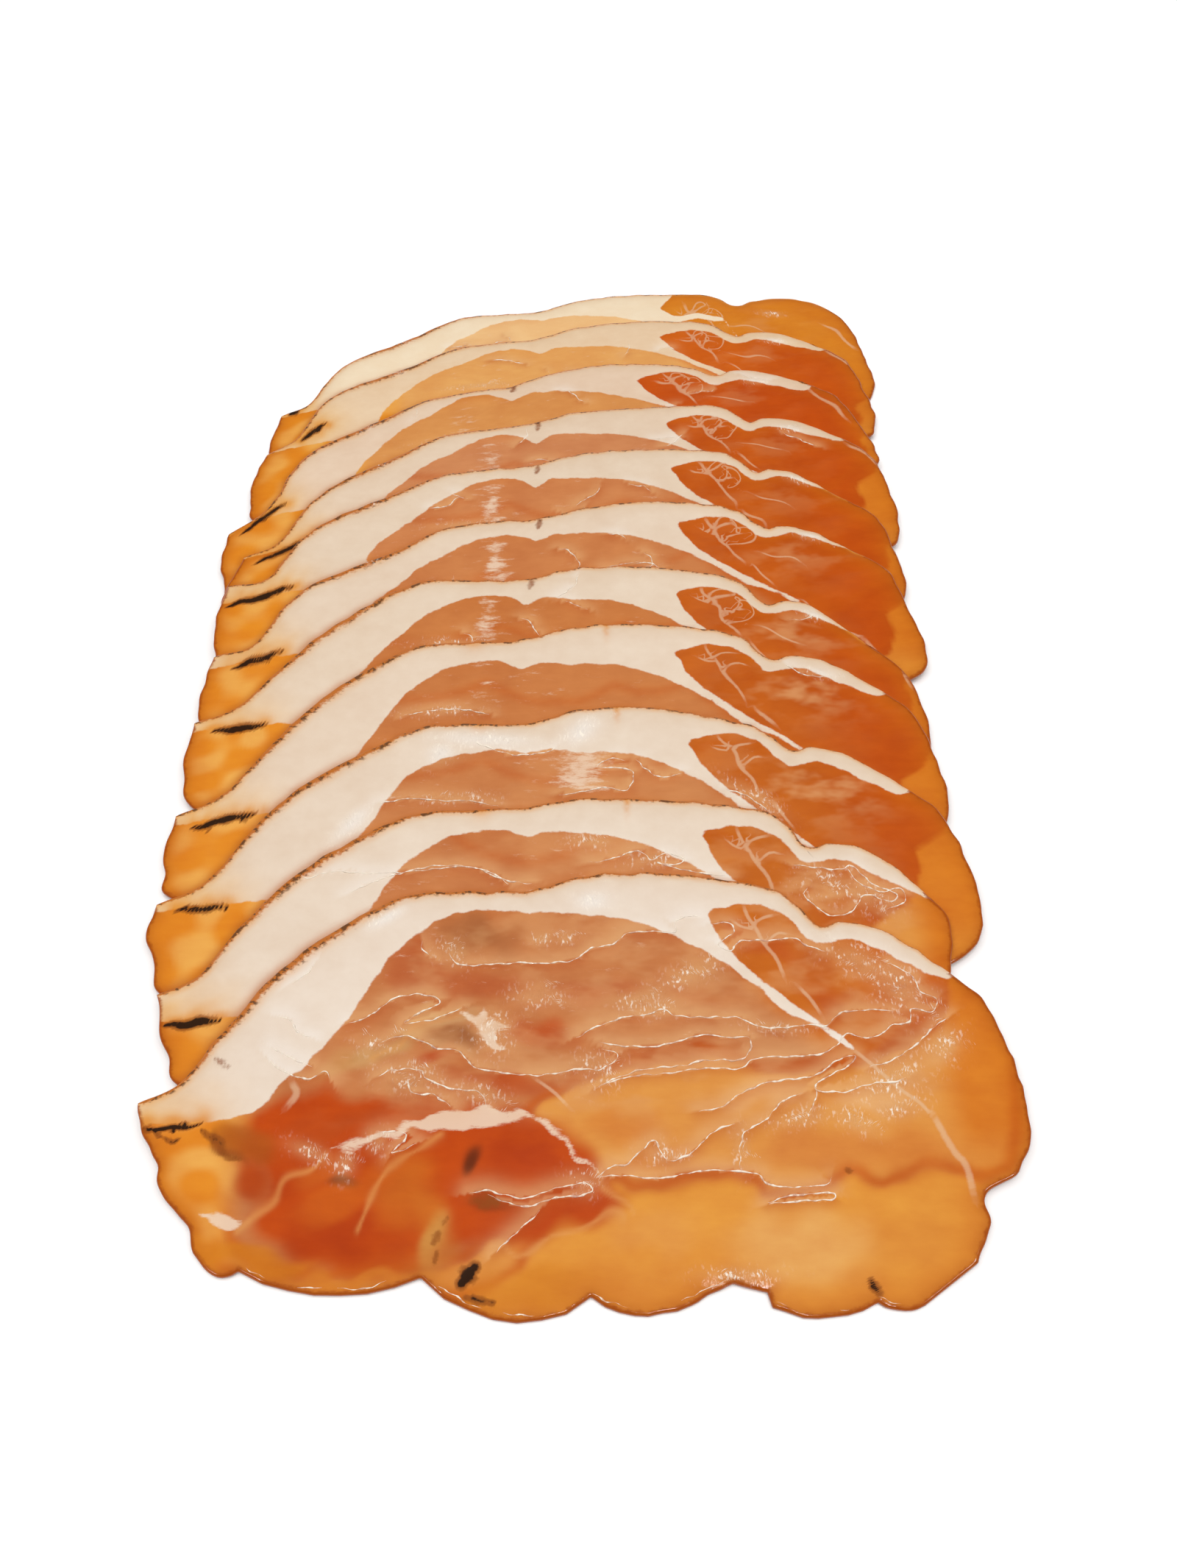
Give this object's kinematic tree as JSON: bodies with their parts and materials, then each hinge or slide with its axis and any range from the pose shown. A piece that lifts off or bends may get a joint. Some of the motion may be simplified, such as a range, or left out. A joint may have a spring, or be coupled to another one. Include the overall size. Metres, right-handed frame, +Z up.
{
  "type": "sliced serrano ham",
  "caption": "Thin slices of cured ham with a white fat edge, laid in a long overlapping row like roof tiles, each resting on the next one behind it.",
  "frame": {"origin": "centre of the bounding box, at the surface that the row lies on", "axes": "+X across the row, +Y along the row from the front (uppermost) slice to the back (lowest) slice, +Z up"},
  "size_m": [0.216, 0.361, 0.0075],
  "materials": {
    "slice_01": "moist, slightly glossy",
    "slice_02": "moist, slightly glossy",
    "slice_03": "moist, slightly glossy",
    "slice_04": "moist, slightly glossy",
    "slice_05": "moist, slightly glossy",
    "slice_06": "moist, slightly glossy",
    "slice_07": "moist, slightly glossy",
    "slice_08": "moist, slightly glossy",
    "slice_09": "moist, slightly glossy",
    "slice_10": "moist, slightly glossy",
    "slice_11": "moist, slightly glossy"
  },
  "bodies": {
    "root": {"slice_01": "slice_01", "slice_02": "slice_02", "slice_03": "slice_03", "slice_04": "slice_04", "slice_05": "slice_05", "slice_06": "slice_06", "slice_07": "slice_07", "slice_08": "slice_08", "slice_09": "slice_09", "slice_10": "slice_10", "slice_11": "slice_11"}
  },
  "joints": []
}
